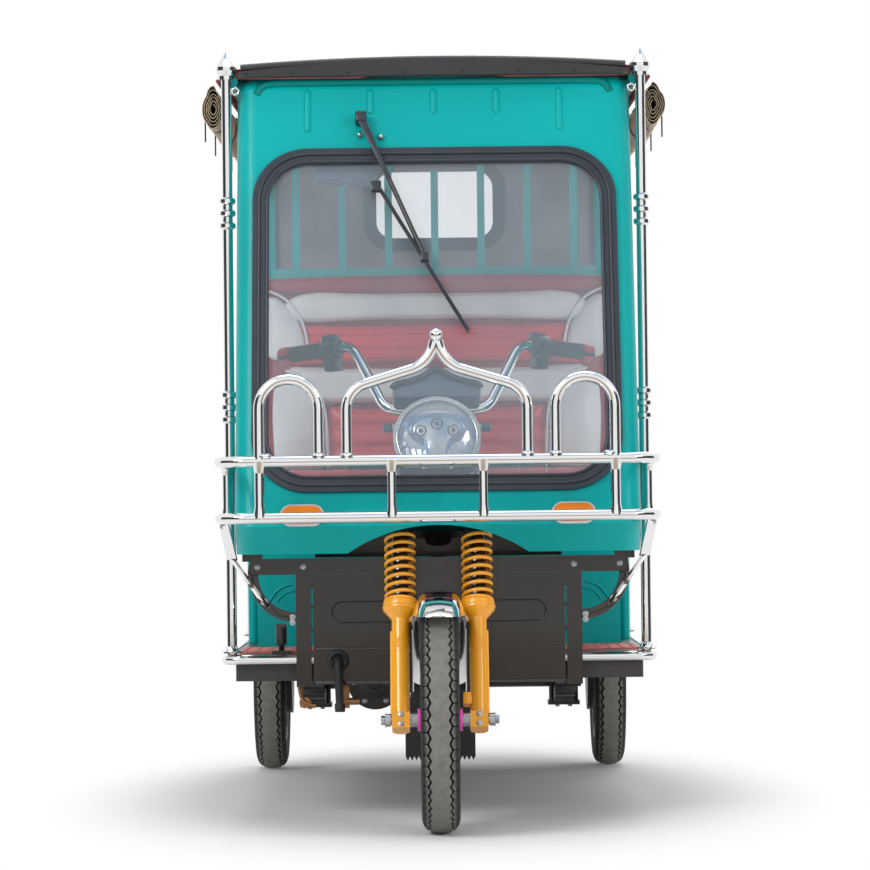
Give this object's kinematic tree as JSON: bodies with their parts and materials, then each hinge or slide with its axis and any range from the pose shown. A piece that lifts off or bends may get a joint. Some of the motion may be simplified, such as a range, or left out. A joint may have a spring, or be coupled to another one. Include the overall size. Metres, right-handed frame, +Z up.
{
  "type": "auto rickshaw",
  "caption": "Three-wheeled passenger rickshaw with a steered front wheel and fork, open-sided cabin, two passenger benches and a chrome front guard.",
  "frame": {"origin": "on the ground under the middle of the vehicle's box", "axes": "+X the vehicle's left side (right in the picture), +Y to the rear, +Z up; the vehicle faces -Y"},
  "size_m": [0.9998, 2.7, 1.692],
  "materials": {
    "teal_paint": "gloss enamel",
    "black_paint": "gloss enamel",
    "dark_frame_paint": "satin",
    "chrome": "polished",
    "gold_paint": "gloss",
    "steel": "plain",
    "pink_anodised": "anodised",
    "tyre_rubber": "matte",
    "black_rubber": "matte",
    "gasket_rubber": "satin",
    "glass": "clear",
    "lens": "clear",
    "lamp_plastic": "gloss",
    "cluster_plastic": "satin",
    "orange_plastic": "gloss",
    "red_lens": "gloss",
    "seat_red": "vinyl",
    "roof_fabric": "coated fabric",
    "curtain_fabric": "canvas",
    "rear_fabric": "coated fabric",
    "mat_rubber": "matte",
    "rim_paint": "silver enamel",
    "battery_plastic": "matte"
  },
  "bodies": {
    "chassis": {"battery_block": "battery_plastic", "cabin_frame": "teal_paint", "chassis_frame": "dark_frame_paint", "drive_motor": "steel", "driver_backrest": "seat_red", "driver_controls": "dark_frame_paint", "driver_cushion": "seat_red", "floor_edge_rail": "chrome", "floor_mat": "mat_rubber", "floor_panel": "dark_frame_paint", "front_frame": "black_paint", "front_guard": "chrome", "front_posts": "chrome", "front_seat_box": "teal_paint", "front_shell": "teal_paint", "leaf_springs": "dark_frame_paint", "leg_shield": "black_paint", "partition_grid": "teal_paint", "passenger_backrests": "seat_red", "passenger_cushions": "seat_red", "passenger_rails": "chrome", "quarter_panels": "teal_paint", "rear_axle": "dark_frame_paint", "rear_bumper": "chrome", "rear_mudguards": "chrome", "rear_seat_box": "teal_paint", "rear_wall": "rear_fabric", "rear_window_gasket": "gasket_rubber", "rear_window_glass": "glass", "roof_front_band": "black_paint", "roof_skin": "roof_fabric", "side_curtains": "curtain_fabric", "tail_lamps": "red_lens", "tow_eye": "dark_frame_paint", "turn_signals": "orange_plastic", "windshield_gasket": "gasket_rubber", "windshield_glass": "glass", "wiper": "black_paint"},
    "steering": {"fork_legs": "gold_paint", "fork_crown_and_tubes": "chrome", "fork_springs": "gold_paint", "front_axle": "steel", "axle_spacer_discs": "pink_anodised", "front_fender": "chrome", "mudflap": "black_rubber", "handlebar": "chrome", "grips_and_levers": "black_rubber", "headlight_housing": "lamp_plastic", "headlight_lens": "lens", "instrument_cluster": "cluster_plastic"},
    "front_wheel": {"front_tyre": "tyre_rubber", "front_rim": "rim_paint"},
    "rear_wheel_left": {"rear_left_tyre": "tyre_rubber", "rear_left_rim": "rim_paint"},
    "rear_wheel_right": {"rear_right_tyre": "tyre_rubber", "rear_right_rim": "rim_paint"}
  },
  "joints": [
    {"name": "steering", "type": "hinge", "parent": "chassis", "child": "steering", "pos_m": [0, -0.89781, 0.69963], "axis": [0, 0.3584, 0.9336], "range_deg": [-35, 35]},
    {"name": "front_wheel_spin", "type": "hinge", "parent": "steering", "child": "front_wheel", "pos_m": [0, -1.1215, 0.2285], "axis": [1, 0, 0], "continuous": true},
    {"name": "rear_left_wheel_spin", "type": "hinge", "parent": "chassis", "child": "rear_wheel_left", "pos_m": [0.427, 0.9285, 0.2285], "axis": [1, 0, 0], "continuous": true},
    {"name": "rear_right_wheel_spin", "type": "hinge", "parent": "chassis", "child": "rear_wheel_right", "pos_m": [-0.427, 0.9285, 0.2285], "axis": [1, 0, 0], "continuous": true}
  ]
}
